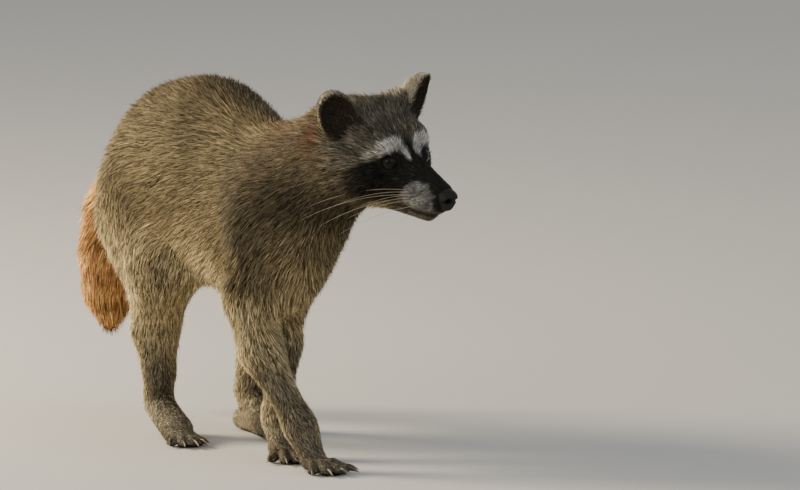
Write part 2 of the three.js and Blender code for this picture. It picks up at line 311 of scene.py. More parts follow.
def flesh(p):
    limbs = blend(22, trunk, *leg_fields.values())(p)
    front = soft_min(20, neck(p), head_form(to_head(p)))
    return soft_min(16, soft_min(16, limbs, front), tail(p))


# ---- Ears, digits and the face's folds ----
def ear_axes(side):
    """Tilted outward, then turned so that its opening faces outward from straight ahead."""
    return turn_about(0, -31 * side) @ turn_about(1, -4) @ turn_about(2, 26 * side)


def to_ear(q, side):
    """From the head's frame to an ear's: +X out of its opening, +Z to its tip."""
    return (q - np.array((0, 31 * side, 16))) @ ear_axes(side)


ear_middle, ear_half = 0.32 * ear_height, 0.7 * ear_height
ear_shell = blob((0, 0, ear_middle), (11, ear_width / 2, ear_half))
ear_hollow = blob((9.5, 0, 0.38 * ear_height), (14, ear_width / 2 - 3.2, 0.54 * ear_height))
ear_bowl = blob((7.5, 0, 0.38 * ear_height), (11, ear_width / 2 - 3.4, 0.50 * ear_height))


def ear_field(q):
    """Both ears' skin, in the head's frame."""
    ears = [to_ear(q, side) for side in (LEFT, RIGHT)]
    return np.minimum(*(soft_max(2.5, ear_shell(e) + 0.9, -ear_hollow(e)) for e in ears))


# For each digit from the inner to the outer: spread in degrees, reach from the palm, radius.
fingers = [(44, 20, 4.2), (20, 26, 4.5), (2, 28, 4.5), (-16, 26, 4.5), (-38, 21, 4.2)]
toes = [(34, 16, 4.2), (15, 26, 4.6), (2, 28, 4.7), (-12, 27, 4.6), (-30, 22, 4.3)]
claw_length = 9
claw_radius = 1.7


def digits_of(leg):
    """Each digit as its knuckle, tip, claw root, heading in radians and radius."""
    hind = "heel" in leg
    x, y, z = leg["ball"][0] if hind else leg["joints"][-1][0]
    found = []
    for spread, reach, radius in toes if hind else fingers:
        angle = math.radians(leg["heading"] - spread * leg["side"])
        c, s = math.cos(angle), math.sin(angle)

        def ahead(d, height):
            return np.array((x + d * c, y + d * s, height))

        knuckle = ahead(5, radius + 2.5)
        tip = ahead(reach, radius - 0.8)
        claw = ahead(reach + radius + 0.2, radius + 0.2)
        found.append((knuckle, tip, claw, angle, radius))
    return found


digit_fields = {}
for leg_name, leg in legs.items():
    rays = []
    for knuckle, tip, _, _, radius in digits_of(leg):
        bend = knuckle * 0.45 + tip * 0.55 + np.array((0, 0, 1.3))
        rays.append(chain(2, [(knuckle, radius - 0.7), (bend, radius - 1.3), (tip, radius - 0.7)]))
    digit_fields[leg_name] = blend(1.2, *rays)

gaze = np.array((0.74, 0.655, 0.12))
gaze /= np.linalg.norm(gaze)


def eye_axes(side):
    """Across the lids, up and out of the eye, as columns."""
    out = gaze * (1, side, 1)
    up = np.array((0, 0, 1.0)) - out[2] * out
    up /= np.linalg.norm(up)
    return np.stack((np.cross(up, out), up, out), axis=1)


def to_eye(q, side):
    """From the head's frame to an eye's, from its centre."""
    return (q - eye_at(side)) @ eye_axes(side)


lip_x = [30, 40, 50, 60, 70, 78, 84]
lip_z = [-31.5, -31.0, -30.5, -30.5, -29.5, -28.0, -27.0]
lid_thickness = 1.05
lid_half = 6.3  # half of the opening's width
upper_lid, lower_lid = 4.9, -4.3  # heights of the opening above and below the eye's centre
lid_curve = 0.62


def lip_height(q):
    """Where the mouth's line lies; it drops towards the middle."""
    return np.interp(q[:, 0], lip_x, lip_z) - 0.25 * np.maximum(10 - np.abs(q[:, 1]), 0)


def face_folds(q, value):
    """Lids, mouth and muzzle, cut into the skin's field in the head's frame."""
    x, y, z = q.T
    above = z - lip_height(q)
    along = ramp(x, 32, 42) * ramp(x, 80, 72)
    value = value + 1.5 * along * bump_of(above / 0.9)
    value = value - 0.5 * along * bump_of((above - 2.6) / 1.6)
    middle = ramp(x, 70, 76) * ramp(z, -31, -28) * ramp(z, -20, -24)
    value = value + 0.9 * middle * bump_of(y / 0.7)
    for side in (LEFT, RIGHT):
        e = to_eye(q, side)
        u, v, w = e.T
        r = length_of(e)
        value = soft_min(3.0, value, r - (eye_radius + lid_thickness))
        arch = np.clip(1 - (u / lid_half) ** 2, 0, 1)
        top = upper_lid * arch**lid_curve + 0.25
        bottom = lower_lid * arch**lid_curve + 0.1
        away = np.maximum(np.abs(u) - lid_half + 0.1, 0)
        opening = np.maximum(v - top, bottom - v) + away
        fold = 0.55 * bump_of((v - top - 2.3) / 0.7) * arch * ramp(w, 1, 4)
        value = value + fold * ramp(r, 10.5, 9.0)
        value = np.where(w > 1.5, soft_max(0.5, value, -opening), value)
    return value


def coat_depth(p, q):
    depth = np.interp(p[:, 2], [0, 14, 40, 80, 130, 180], [1.0, 1.4, 2.3, 4.2, 7.5, 8.5])
    face = np.interp(q[:, 0], [-25, 0, 25, 45, 80], [8, 5.5, 2.6, 1.4, 0.8])
    depth = depth + 9 * ramp(-p[:, 0], 82, 95) * ramp(p[:, 2], 92, 64)
    on_face = ramp(q[:, 0], -36, -14) * ramp(q[:, 2], -78, -52)
    return mix(depth[:, None], face[:, None], on_face)[:, 0]


def skin(p):
    q = to_head(p)
    value = flesh(p) + coat_depth(p, q)
    near = np.flatnonzero((q[:, 0] > -50) & (q[:, 2] > -70))
    part = soft_min(5, value[near], ear_field(q[near]))
    for side in (LEFT, RIGHT):
        part = soft_max(2, part, -ear_bowl(to_ear(q[near], side)))
    value[near] = face_folds(q[near], part)
    low = np.flatnonzero(p[:, 2] < 32)
    part = value[low]
    for digits in digit_fields.values():
        part = soft_min(3, part, digits(p[low]))
    value[low] = soft_max(1.5, part, 0.15 - p[low, 2])
    return value


# ---- A field's surface as a mesh: one vertex in each grid cell that it crosses ----
block_cells = 4
far_off = 1e3


def spaced(low, high, *finer, step):
    """Grid lines from low to high, `step` apart, and closer within each (from, to, step)."""
    lines = [low]
    while lines[-1] < high:
        inside = [s for a, b, s in finer if a <= lines[-1] < b]
        lines.append(lines[-1] + min(inside + [step]))
    while (len(lines) - 1) % block_cells:
        lines.append(lines[-1] + step)
    return np.array(lines)


def surface(field, axes, margin):
    """Points and quads. Blocks of cells further than `margin` from the surface are left out."""
    blocks = [axis[::block_cells] for axis in axes]
    grid = np.stack(np.meshgrid(*blocks, indexing="ij"), axis=-1)
    rough = field(grid.reshape(-1, 3)).reshape(grid.shape[:3])
    corners = list(itertools.product((0, 1), repeat=3))

    def shifted(a, corner):
        return a[tuple(slice(c, a.shape[i] - 1 + c) for i, c in enumerate(corner))]

    def to_cells(a):
        for axis in range(3):
            a = a.repeat(block_cells, axis)
        return a

    around = np.stack([shifted(rough, c) for c in corners])
    active = (np.abs(around).min(axis=0) < margin) | (around.min(0) * around.max(0) < 0)
    wanted = np.zeros([len(axis) for axis in axes], bool)
    for corner in corners:
        shifted(wanted, corner)[...] |= to_cells(active)
    values = np.full(wanted.shape, far_off, np.float32)
    values[:-1, :-1, :-1] = to_cells(np.where(rough[:-1, :-1, :-1] < 0, -far_off, far_off))

    def places(index):
        return np.stack([axes[i][index[i]] for i in range(3)], axis=1)

    where = np.nonzero(wanted)
    values[where] = field(places(where))

    inside = values < 0
    count = sum(shifted(inside, c).astype(np.int8) for c in corners)
    cells = np.argwhere((count > 0) & (count < 8))
    number = np.full(count.shape, -1, np.int64)
    number[tuple(cells.T)] = np.arange(len(cells))
    total = np.zeros((len(cells), 3))
    crossings = np.zeros(len(cells))
    for corner, axis in itertools.product(corners, range(3)):
        if corner[axis]:
            continue
        a = cells + corner
        b = a.copy()
        b[:, axis] += 1
        hit = inside[tuple(a.T)] != inside[tuple(b.T)]
        a, b = tuple(a[hit].T), tuple(b[hit].T)
        va, vb = values[a].astype(float), values[b].astype(float)
        total[hit] += mix(places(a), places(b), va / (va - vb))
        crossings[hit] += 1
    points = total / crossings[:, None]

    quads = []
    for axis in range(3):
        j, k = (axis + 1) % 3, (axis + 2) % 3
        near = inside[tuple(slice(None, -1) if i == axis else slice(1, -1) for i in range(3))]
        far = inside[tuple(slice(1, None) if i == axis else slice(1, -1) for i in range(3))]
        at = np.argwhere(near != far)
        rising = near[tuple(at.T)]
        ring = []
        for dj, dk in ((0, 0), (1, 0), (1, 1), (0, 1)):
            cell = at.copy()
            cell[:, j] += dj
            cell[:, k] += dk
            ring.append(number[tuple(cell.T)])
        ring = np.stack(ring, axis=1)
        ring[~rising] = ring[~rising][:, ::-1]
        quads.append(ring)
    return points, np.concatenate(quads)


def quad_normals(points, faces):
    """Each is twice as long as its quad is large."""
    a, b, c, d = (points[faces[:, i]] for i in range(4))
    return np.cross(c - a, d - b)


def vertex_normals(points, faces):
    face = quad_normals(points, faces)
    total = np.zeros_like(points)
    for i in range(4):
        np.add.at(total, faces[:, i], face)
    return unit(total)


# ---- Meshes ----
def to_row(p):
    return (p + row_shift) / mm_per_m


def fill(items, key, values, kind=np.float32):
    items.foreach_set(key, values.astype(kind).ravel())


def add_object(name, data):
    thing = bpy.data.objects.new(name, data)
    bpy.context.scene.collection.objects.link(thing)
    return thing


def make_mesh(name, points, faces, colour, normals=None, uv=None):
    """Points in the animal's frame; faces all of one size; colour and normals for each point."""
    mesh = bpy.data.meshes.new(name)
    corners = faces.shape[1]
    mesh.vertices.add(len(points))
    fill(mesh.vertices, "co", to_row(points))
    mesh.loops.add(faces.size)
    fill(mesh.loops, "vertex_index", faces, np.int32)
    mesh.polygons.add(len(faces))
    fill(mesh.polygons, "loop_start", np.arange(len(faces)) * corners, np.int32)
    mesh.update(calc_edges=True)
    mesh.shade_smooth()
    if uv is not None:
        fill(mesh.uv_layers.new(name="OFBake").data, "uv", uv)
    layer = mesh.color_attributes.new("coat", "FLOAT_COLOR", "POINT")
    rgba = np.concatenate([np.clip(colour, 0, 1), np.ones((len(colour), 1))], axis=1)
    fill(layer.data, "color", rgba)
    if normals is not None:
        mesh.normals_split_custom_set_from_vertices(normals.astype(np.float32))
    return add_object(name, mesh)


def finish_piece(piece, material, nodes=()):
    """Gives the piece the named material, hangs it from the root and hides the imported parts in
    `nodes`.
    """
    piece.data.materials.append(materials[material])
    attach(piece, "root")
    if nodes:
        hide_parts(*nodes)


def make_joined(name, shapes):
    """One piece from a list of (points, faces, colour)."""
    points, faces, colour = zip(*shapes)
    starts = np.cumsum([0] + [len(p) for p in points[:-1]])
    faces = [part + start for part, start in zip(faces, starts)]
    return make_mesh(name, np.concatenate(points), np.concatenate(faces), np.concatenate(colour))


def tube_faces(rings, sides):
    """Quads of a tube, open at its ends, whose rings have `sides` points each."""
    ring, side = np.divmod(np.arange((rings - 1) * sides), sides)
    a, b = ring * sides + side, ring * sides + (side + 1) % sides
    return np.stack((a, b, b + sides, a + sides), axis=1)


def turned(radii, heights, sides):
    """Points and quads of a form turned about +Z, open at its ends."""
    angles = np.arange(sides) * 2 * np.pi / sides
    circle = np.stack((np.cos(angles), np.sin(angles), np.zeros(sides)), axis=1)
    rings = [circle * radius + (0, 0, height) for radius, height in zip(radii, heights)]
    return np.concatenate(rings), tube_faces(len(rings), sides)


# ---- Materials ----
def set_inputs(node, values):
    for socket, value in values.items():
        node.inputs[socket].default_value = value


def new_material(name, roughness, specular):
    material = bpy.data.materials.new(name)
    material.use_nodes = True
    shader = material.node_tree.nodes["Principled BSDF"]
    set_inputs(shader, {"Roughness": roughness, "Specular IOR Level": specular})
    return material, material.node_tree, shader


def add_noise(tree, scale, detail):
    place = tree.nodes.new("ShaderNodeTexCoord")
    texture = tree.nodes.new("ShaderNodeTexNoise")
    set_inputs(texture, {"Scale": scale, "Detail": detail})
    tree.links.new(place.outputs["Object"], texture.inputs["Vector"])
    return texture


def add_bump(tree, shader, texture, distance):
    bump = tree.nodes.new("ShaderNodeBump")
    set_inputs(bump, {"Distance": distance, "Strength": 1.0})
    tree.links.new(texture.outputs[0], bump.inputs["Height"])
    tree.links.new(bump.outputs["Normal"], shader.inputs["Normal"])


def add_colour(tree, shader, texture, low, high):
    """The painted colour, made darker and lighter by the texture."""
    painted = tree.nodes.new("ShaderNodeVertexColor")
    painted.layer_name = "coat"
    strength = tree.nodes.new("ShaderNodeMapRange")
    set_inputs(strength, {"From Min": 0.3, "From Max": 0.7, "To Min": low, "To Max": high})
    scaled = tree.nodes.new("ShaderNodeVectorMath")
    scaled.operation = "SCALE"
    tree.links.new(texture.outputs[0], strength.inputs["Value"])
    tree.links.new(painted.outputs["Color"], scaled.inputs[0])
    tree.links.new(strength.outputs["Result"], scaled.inputs["Scale"])
    tree.links.new(scaled.outputs["Vector"], shader.inputs["Base Color"])


def painted_material(name, roughness, specular, scale, low, high, bump=0.0):
    material, tree, shader = new_material(name, roughness, specular)
    texture = add_noise(tree, scale, 3)
    add_colour(tree, shader, texture, low, high)
    if bump:
        add_bump(tree, shader, texture, bump)
    return material


finishes = {
    # roughness, specular, the noise's scale and its limits, and the bump's depth in metres
    "skin": (0.8, 0.15, 900, 0.7, 1.3, 0.0006),
    "body_fur": (0.75, 0.07, 260, 0.78, 1.22),
    "face_fur": (0.75, 0.08, 400, 0.85, 1.15),
    "ear_fur": (0.75, 0.08, 400, 0.88, 1.12),
    "tail_fur": (0.75, 0.07, 220, 0.8, 1.2),
    "eye": (0.16, 0.16, 500, 0.8, 1.2),
    "nose": (0.5, 0.16, 1500, 0.75, 1.25, 0.0003),
    "claw": (0.4, 0.45, 500, 0.8, 1.2),
    "whisker": (0.45, 0.4, 120, 0.85, 1.15),
}
materials = {name: painted_material(name, *finish) for name, finish in finishes.items()}

# ---- Markings, with painted light and shade ----
TRUNK, NECK, HEAD, TAIL = range(4)
FIRST_LEG = 4  # one label for each of legs, in their order
FIRST_HIND_LEG = 6
EAR = 8

black = np.array((0.0155, 0.0145, 0.0120))
dark = np.array((0.024, 0.0190, 0.0125))
brown = np.array((0.056, 0.0435, 0.0250))
tan = np.array((0.160, 0.125, 0.067))
buff = np.array((0.44, 0.345, 0.190))
cream = np.array((0.78, 0.66, 0.45))
white = np.array((0.42, 0.41, 0.37))
grey = np.array((0.095, 0.084, 0.063))
rufous = np.array((0.13, 0.052, 0.022))
# painted sunlight: the tail's own buff-orange made lighter and warmer, as if lit through the hair
sunlit_tail_orange = np.array((0.64, 0.32, 0.115))

brow_line = [  # the pale stripe from the cheek over the eye to the bridge of the nose
    ((0, 44.5, -8), 4.6), ((12, 41.2, -4.5), 4.0), ((18, 37, 0), 2.8),
    ((24.5, 30, 4), 3.6), ((31, 24.5, 9.3), 4.2), ((35, 17.5, 12.7), 4.8),
    ((35.5, 10, 14), 4.4), ((39.5, 6.4, 8.5), 4.2), ((44, 5.2, 4), 2.4),
]
brow = chain(4, brow_line)

# The mask's edges and the bridge's half width and lower edge, each as heights or widths along X.
mask_top_x = [4, 14.8, 19.7, 26.9, 32.6, 36.4, 42.4, 50, 57]
mask_top_z = [-19, -9, -3, -0.5, 4.6, 7.2, 4.6, 0, -7]
mask_bottom_x = [4, 8, 20, 35, 40, 44, 48, 52, 57]
mask_bottom_z = [-27, -34, -33, -29, -23.5, -19.5, -15, -10.5, -8.5]
bridge_half_x = [24, 31, 38, 42, 46, 50, 60, 68, 80]
bridge_half = [0.8, 1.8, 2.6, 4.0, 8.5, 10, 9.5, 10, 13]
bridge_low_x = [20, 44, 50, 56, 63, 70, 76, 84]
bridge_low_z = [-40, -40, -14, -9.5, -10, -13.5, -20, -24]


def overlay(colour, *layers):
    """The colour under layers of (colour, share)."""
    for layer, share in layers:
        colour = mix(colour, layer, share)
    return colour


def body_colour(p, n, labels):
    """Colours of the trunk, neck, tail and legs."""
    x, _, z = p.T
    ahead, left, up = n.T
    patch = noise(p, 34, 1) * 0.5 + noise(p, 13, 2) * 0.5
    flank = ramp(up, 0.75, -0.1)
    colour = overlay(
        mix(brown * 0.9, tan * 0.75, np.clip(0.34 + 0.10 * flank + 0.36 * patch, 0, 1)),
        (dark * 1.6, 0.22 * ramp(x, 140, 60) * ramp(up, 0.2, 0.8)),  # loins
        (buff * 0.6, 0.30 * ramp(x, 40, -40) * ramp(up, 0.9, 0.1)),  # rump
        (buff * 0.8, 0.5 * ramp(z, 178, 128) * ramp(x, 160, 105)),  # low flank
        (buff, 0.7 * ramp(up, -0.1, -0.75) * ramp(z, 168, 132)),  # fringe of the belly
        # shoulder: painted shade, strongest where it faces sideways, over its own darker coat; and
        # the paler chest
        (grey * 0.30, 0.62 * ramp(x, 138, 168) * ramp(z, 135, 168) * ramp(up, 0.85, 0.45)),
        (tan, 0.5 * ramp(x, 192, 222) * ramp(z, 188, 160)),
    )

    inner = np.zeros(len(p))
    for index, leg in enumerate(legs.values()):
        facing = ramp(-leg["side"] * left, 0.1, 0.8)
        inner = np.where(labels == FIRST_LEG + index, facing, inner)
    leg_colour = overlay(
        mix(brown * 1.2, tan * 2.2, np.clip(0.55 + 0.75 * patch, 0, 1)),
        (grey * 1.05, 0.7 * ramp(z, 100, 55) * ramp(ahead, -0.2, 0.4)),  # front of the shin
        # rear and inner side, above the foot, and the foot
        (buff * 1.4, np.clip(0.95 * ramp(-ahead, 0.0, 0.6) + 0.5 * inner, 0, 0.95)),
        (mix(brown, grey, 0.5), 0.6 * ramp(z, 70, 44) * ramp(z, 16, 30)),
        (grey * (1.5 + 1.2 * (labels >= FIRST_HIND_LEG))[:, None], 0.6 * ramp(z, 30, 14)),
    )

    q = to_head(p)
    from_ear = (np.stack((q[:, 0], np.abs(q[:, 1]), q[:, 2]), axis=1) - (-24, 35, 3)) / (7, 11, 12)
    behind_ear = np.exp(-(from_ear**2).sum(axis=1))
    foreleg = (labels >= FIRST_LEG) & (labels < FIRST_HIND_LEG)

    down = np.clip((tail_top - z) / tail_drop, 0, 1)
    rings = 0.5 + 0.5 * np.sin(down * tail_rings * 2 * np.pi - 1.2)
    ringed = 0.62 * ramp(rings, 0.5, 0.85) * ramp(down, 0.05, 0.3)
    tail_colour = overlay(
        # painted sunlight in the tail's orange; the rings are the tail's own
        mix(sunlit_tail_orange * 1.2, mix(rufous, dark, 0.5), ringed),
        (dark, ramp(down, 0.9, 0.97)),
        # painted shade on the side of the tail that faces forward, towards the legs
        (dark * 1.4, 0.35 * ramp(-ahead, 0.3, -0.6)),
    )
    return overlay(
        colour,
        (leg_colour, ramp(z, 138, 96) * (labels >= FIRST_LEG)),
        (mix(brown, rufous, 0.3), 0.22 * ramp(x, 150, 205) * ramp(up, -0.2, 0.5) * ~foreleg),
        (rufous * 0.40, 0.8 * behind_ear),
        (tail_colour, (labels == TAIL) * ramp(x, -66, -82)),
    )


def head_colour(p):
    """Colours of the face: forehead and cheeks, muzzle, mask, brow, bridge, nose and lips."""
    q = to_head(p)
    rough = noise(p, 2.2, 5) * 0.9 + noise(p, 6, 6) * 0.8
    x, z = q[:, 0] + 0.6 * rough, q[:, 2] + rough
    a = np.abs(q[:, 1])
    forehead = mix(grey * 0.45, grey * 1.1, 0.5 + 0.5 * noise(p, 5, 7))
    cheek_share = np.clip(0.5 + 0.45 * noise(p, 6, 8), 0, 1)
    cheek = mix(dark * 1.3, mix(grey, tan, 0.5) * 0.75, cheek_share)
    pale_muzzle = white * (0.40 + 0.22 * noise(p, 2.4, 9))[:, None]
    top = np.interp(x, mask_top_x, mask_top_z)
    bottom = np.interp(x, mask_bottom_x, mask_bottom_z)
    mask = ramp(top - z, -1.1, 1.1) * ramp(z - bottom, -1.4, 1.4) * ramp(x, 60, 56) * ramp(a, 3, 6)
    colour = overlay(
        mix(forehead, cheek, ramp(z - 0.25 * x, 6, -10)),
        (brown, 0.6 * ramp(x, 0, -16)),  # back of the crown
        (buff * 0.7, 0.7 * ramp(z, -30, -38) * ramp(a, 30, 12) * ramp(x, 36, 14)),  # throat
        # behind the ears
        (mix(cream, buff, 0.5) * 0.7, 0.8 * ramp(z, 20, 27) * ramp(a, 15, 22) * ramp(x, 1, -5)),
        (mix(pale_muzzle, grey, ramp(z, -25, -31)), ramp(x, 36, 46) * ramp(z, -4, -10)),
        (dark * 1.1, 0.85 * mask * ramp(x, 9, 16)),
        (black, mask * ramp(x, 15, 21)),
    )
    for side in (LEFT, RIGHT):
        near = length_of((q - eye_at(side)) * (1, 1, 1.15))
        colour = mix(colour, black, ramp(near, 12, 10))

    soft = np.interp(x, [0, 18, 30], [3.2, 2.4, 1.5])
    pale = ramp(brow(np.stack((x, a, z), axis=1)) / soft, 1.0, -1.2)
    half = np.interp(x, bridge_half_x, bridge_half)
    low = np.interp(x, bridge_low_x, bridge_low_z)
    bridge = ramp(a - half, 1.2, -1.2) * ramp(z - low, -1.2, 1.6) * ramp(x, 24, 34)
    lips = bump_of((q[:, 2] - lip_height(q)) / 1.3) * ramp(q[:, 0], 34, 44)
    return overlay(
        colour,
        (mix(grey * 1.7, white * 1.3, ramp(x, 16, 37)), pale * (0.6 + 0.4 * ramp(x, 6, 26))),
        (black * 1.15, bridge),
        (black, ramp(x, 72, 75.5)),  # round the nose
        (dark * 0.6, 0.9 * lips),
    )


def ear_colour(p):
    q = to_head(p)
    e = np.where(q[:, 1:2] > 0, to_ear(q, LEFT), to_ear(q, RIGHT))
    _, across, height = e.T
    out = np.hypot(across / (ear_width / 2), (height - ear_middle) / ear_half)  # 1 at the outline
    inside = np.maximum(ramp(-ear_hollow(e), -3.6, -1.8), ramp(-ear_bowl(e), -3.0, -1.2))
    rim = ramp(out, 0.92, 0.98) * ramp(height, -2, 5)
    back = mix(mix(grey, cream, 0.2), brown, ramp(height, 12, 2))
    colour = mix(back, dark * 1.4, inside)
    return mix(colour, cream * 1.25, 0.95 * rim)


def label_of(p):
    """The part of the animal that each point belongs to."""
    q = to_head(p)
    parts = [trunk(p), neck(p) - 2, head_form(q), tail(p)]
    parts += [field(p) - 2 for field in leg_fields.values()]
    label = np.argmin(np.stack(parts), axis=0)
    low = np.flatnonzero(p[:, 2] < 30)
    near = np.stack([np.minimum(leg_fields[k](p[low]), digit_fields[k](p[low])) for k in legs])
    label[low] = FIRST_LEG + np.argmin(near, axis=0)
    near_ear = (ear_field(q) < 0.9) & (head_form(q) > -0.5) & (q[:, 2] > 8)
    for side in (LEFT, RIGHT):
        near_ear |= ear_bowl(to_ear(q, side)) < 1.5
    label[near_ear] = EAR
    return label


def paint(p, n, labels):
    colour = body_colour(p, n, labels)
    on_head = ramp(head_form(to_head(p)) - np.minimum(neck(p), trunk(p)), 3, -5)
    head = np.flatnonzero((on_head > 0) & (labels != EAR))
    colour[head] = mix(colour[head], head_colour(p[head]), on_head[head])
    ears = labels == EAR
    colour[ears] = ear_colour(p[ears])
    soles = (p[:, 2] < 2.5) & (n[:, 2] < -0.3)
    colour[soles] = dark
    return colour


# ---- The lie of the coat ----
def heading_of(a, b):
    return unit(np.array([b], float) - a)[0]


guides = []  # along each limb: its field, the hair's direction and that direction's strength
for leg in legs.values():
    guides += [(bone(*link), heading_of(*link[:2]), 1.0) for link in links_of(leg["joints"])]
    if "heel" in leg:
        ankle, ball = leg["joints"][-1][0], leg["ball"][0]
        guides.append((bone(ankle, ball, 9, 9), heading_of(ankle, ball), 1.5))
    for knuckle, tip, _, _, radius in digits_of(leg):
        guides.append((bone(knuckle, tip, radius, radius), heading_of(knuckle, tip), 2.0))
guides += [(bone(*link), heading_of(*link[:2]), 1.6) for link in links_of(tail_joints)]


def along_skin(v, n):
    return unit(v - n * np.einsum("ij,ij->i", v, n)[:, None])


def nearness(gap, fade=7):
    """Large inside a form, 1 at its surface and falling outward."""
    return np.exp(-np.maximum(gap, -9) / fade)[:, None]


def lie_of(p, n):
    """Unit direction in which the hair points, along the skin."""
    low = 1 - np.clip((p[:, 2] - belly_height) / (back_height - belly_height), 0, 1)
    back = (-np.ones(len(p)), 0.12 * np.sign(p[:, 1]) * low, -0.12 - 0.85 * low**0.8)
    total = unit(np.stack(back, axis=1)) * nearness(trunk(p)) * 1.2
    down_neck = np.array((-0.86, -0.2, -0.46))
    total += down_neck * nearness(neck(p))
    q = to_head(p)
    from_nose = unit(q - np.array((78, 0, -10)))
    cheek = ramp(np.abs(q[:, 1]), 10, 34) * ramp(q[:, 2], 12, -12)
    from_nose[:, 2] -= 0.3 * cheek
    total += (from_nose @ head_axes.T) * nearness(head_form(q), 6) * 1.3
    for field, direction, strength in guides:
        total += direction * strength * nearness(field(p))
    total = unit(total)
    total += 0.20 * np.stack([noise(p, 21, s) for s in (21, 22, 23)], axis=1)
    total += 0.14 * np.stack([noise(p, 6, s) for s in (24, 25, 26)], axis=1)
    total += 0.17 * random.normal(size=p.shape)
    return along_skin(total, n)


def ear_lie(p, n):
    """Towards the tip and the rim of the ear."""
    q = to_head(p)
    total = np.zeros_like(p)
    for side in (LEFT, RIGHT):
        e = to_ear(q, side)
        local = e * (0, 0.05, 0) + (0.25, 0, 0.8)
        here = (q[:, 1] > 0) == (side == LEFT)
        total[here] = (local @ ear_axes(side).T @ head_axes.T)[here]
    total += 0.2 * random.normal(size=p.shape)
    return along_skin(total, n)


# ---- An unwrap of the skin's own shape: a tile for each part and each way it faces ----
tile_gap = 3.0


def unwrap(points, normals, groups):
    """Places in the unit square. Points of one group that face one way share a tile."""
    facing = np.argmax(np.abs(normals), axis=1)
    sign = normals[np.arange(len(normals)), facing] > 0
    key = groups * 6 + facing * 2 + sign
    keys = np.unique(key)
    tiles = []
    flat = np.zeros((len(points), 2))
    for k in keys:
        here = key == k
        axis = (k % 6) // 2
        kept = [i for i in range(3) if i != axis]
        local = points[here][:, kept]
        local = local - local.min(axis=0)
        size = local.max(axis=0) + 1.0
        if size[1] > size[0]:
            local, size = local[:, ::-1], size[::-1]
        flat[here] = local
        tiles.append((size[1], size[0], k))
    tiles.sort(reverse=True)
    width = math.sqrt(sum((h + 4) * (w + 4) for h, w, _ in tiles)) * 1.02
    width = max(width, max(w for _, w, _ in tiles) + 4)
    while True:  # shelves of tiles, in a square that grows until all fit
        x = y = shelf = 0.0
        corner = {}
        for h, w, k in tiles:
            if x + w > width:
                x, y, shelf = 0.0, y + shelf + tile_gap, 0.0
            corner[k] = (x, y)
            x += w + tile_gap
            shelf = max(shelf, h)
        if y + shelf <= width:
            break
        width *= 1.04
    flat += np.array([corner[k] for k in keys])[np.searchsorted(keys, key)]
    return (flat + 1) / (width + 2)


# ---- Tufts: closed, tapering, three-sided locks ----
def tuft_faces(count, rings):
    """Triangles of `count` tufts with `rings` rings of three points and a tip."""
    one = [(0, 1, 2)]
    for ring in range(rings - 1):
        for i in range(3):
            a, b = ring * 3 + i, ring * 3 + (i + 1) % 3
            one += [(a, b + 3, b), (a, a + 3, b + 3)]
    last = (rings - 1) * 3
    one += [(last + i, last + 3, last + (i + 1) % 3) for i in range(3)]
    one = np.array(one)
    each = rings * 3 + 1
    return (one[None] + np.arange(count)[:, None, None] * each).reshape(-1, 3)


ring_tapers = (1.0, 0.86, 0.5)  # width of each ring, root first
ring_places = ((-1.0, -0.25), (0.0, 0.75), (1.0, -0.25))  # across and up, in half widths
softness = 0.7  # the skin's share of a tuft's normals
patch_size = 0.003  # of a tuft on the bake's unit square


def build_tufts(name, tufts, groups):
    """One piece from tufts, a dict of arrays; all have the same number of rings."""
    spine, width, lift = tufts["spine"], tufts["width"], tufts["normal"]
    count, rings = spine.shape[0], spine.shape[1] - 1
    points = np.zeros((count, rings * 3 + 1, 3))
    normals = np.zeros_like(points)
    colour = np.zeros_like(points)
    uv_local = np.zeros((count, rings * 3 + 1, 2))
    for ring in range(rings):
        along = unit(spine[:, min(ring + 1, rings)] - spine[:, max(ring - 1, 0)])
        across = unit(np.cross(lift, along))
        up = np.cross(along, across)
        half = (width * ring_tapers[ring] / 2)[:, None]
        for i, (side, rise) in enumerate(ring_places):
            own = unit(across * side + up * (rise + 0.2))
            at = ring * 3 + i
            points[:, at] = spine[:, ring] + across * (side * half) + up * (rise * half)
            normals[:, at] = lift * softness + own * (1 - softness)
            colour[:, at] = tufts["colour"][:, ring]
            uv_local[:, at] = (side * 0.42, ring / rings - 0.5)
    points[:, -1] = spine[:, rings]
    points = keep_in_box(points.reshape(-1, 3), 0.05)
    normals[:, -1] = lift
    colour[:, -1] = tufts["colour"][:, rings]
    uv_local[:, -1] = (0, 0.5)
    place = unwrap(tufts["root"], lift, groups)
    uv = np.clip(place[:, None] + uv_local * patch_size, 0, 1).reshape(-1, 2)
    faces = tuft_faces(count, rings)
    normals = unit(normals.reshape(-1, 3))
    return make_mesh(name, points, faces, colour.reshape(-1, 3), normals, uv[faces.ravel()])


def scatter(points, faces, normals, density):
    """Random places on the quads, `density` to a square millimetre at each point."""
    area = length_of(quad_normals(points, faces)) / 2
    wanted = area * density[faces].mean(axis=1)
    ends = np.cumsum(wanted)
    count = int(ends[-1])
    picks = np.searchsorted(ends, (np.arange(count) + random.random(count)) * ends[-1] / count)
    picks = np.clip(picks, 0, len(faces) - 1)
    u, v = random.random((2, count, 1))
    weights = [(1 - u) * (1 - v), u * (1 - v), u * v, (1 - u) * v]
    root = sum(w * points[faces[picks, i]] for i, w in enumerate(weights))
    normal = unit(sum(w * normals[faces[picks, i]] for i, w in enumerate(weights)))
    return root, normal


box_low = np.array(cad_low) * mm_per_m - row_shift
box_high = np.array(cad_high) * mm_per_m - row_shift


def keep_in_box(points, margin=0.3):
    """Points moved to stay inside the solids' box."""
    return np.clip(points, box_low + margin, box_high - margin)


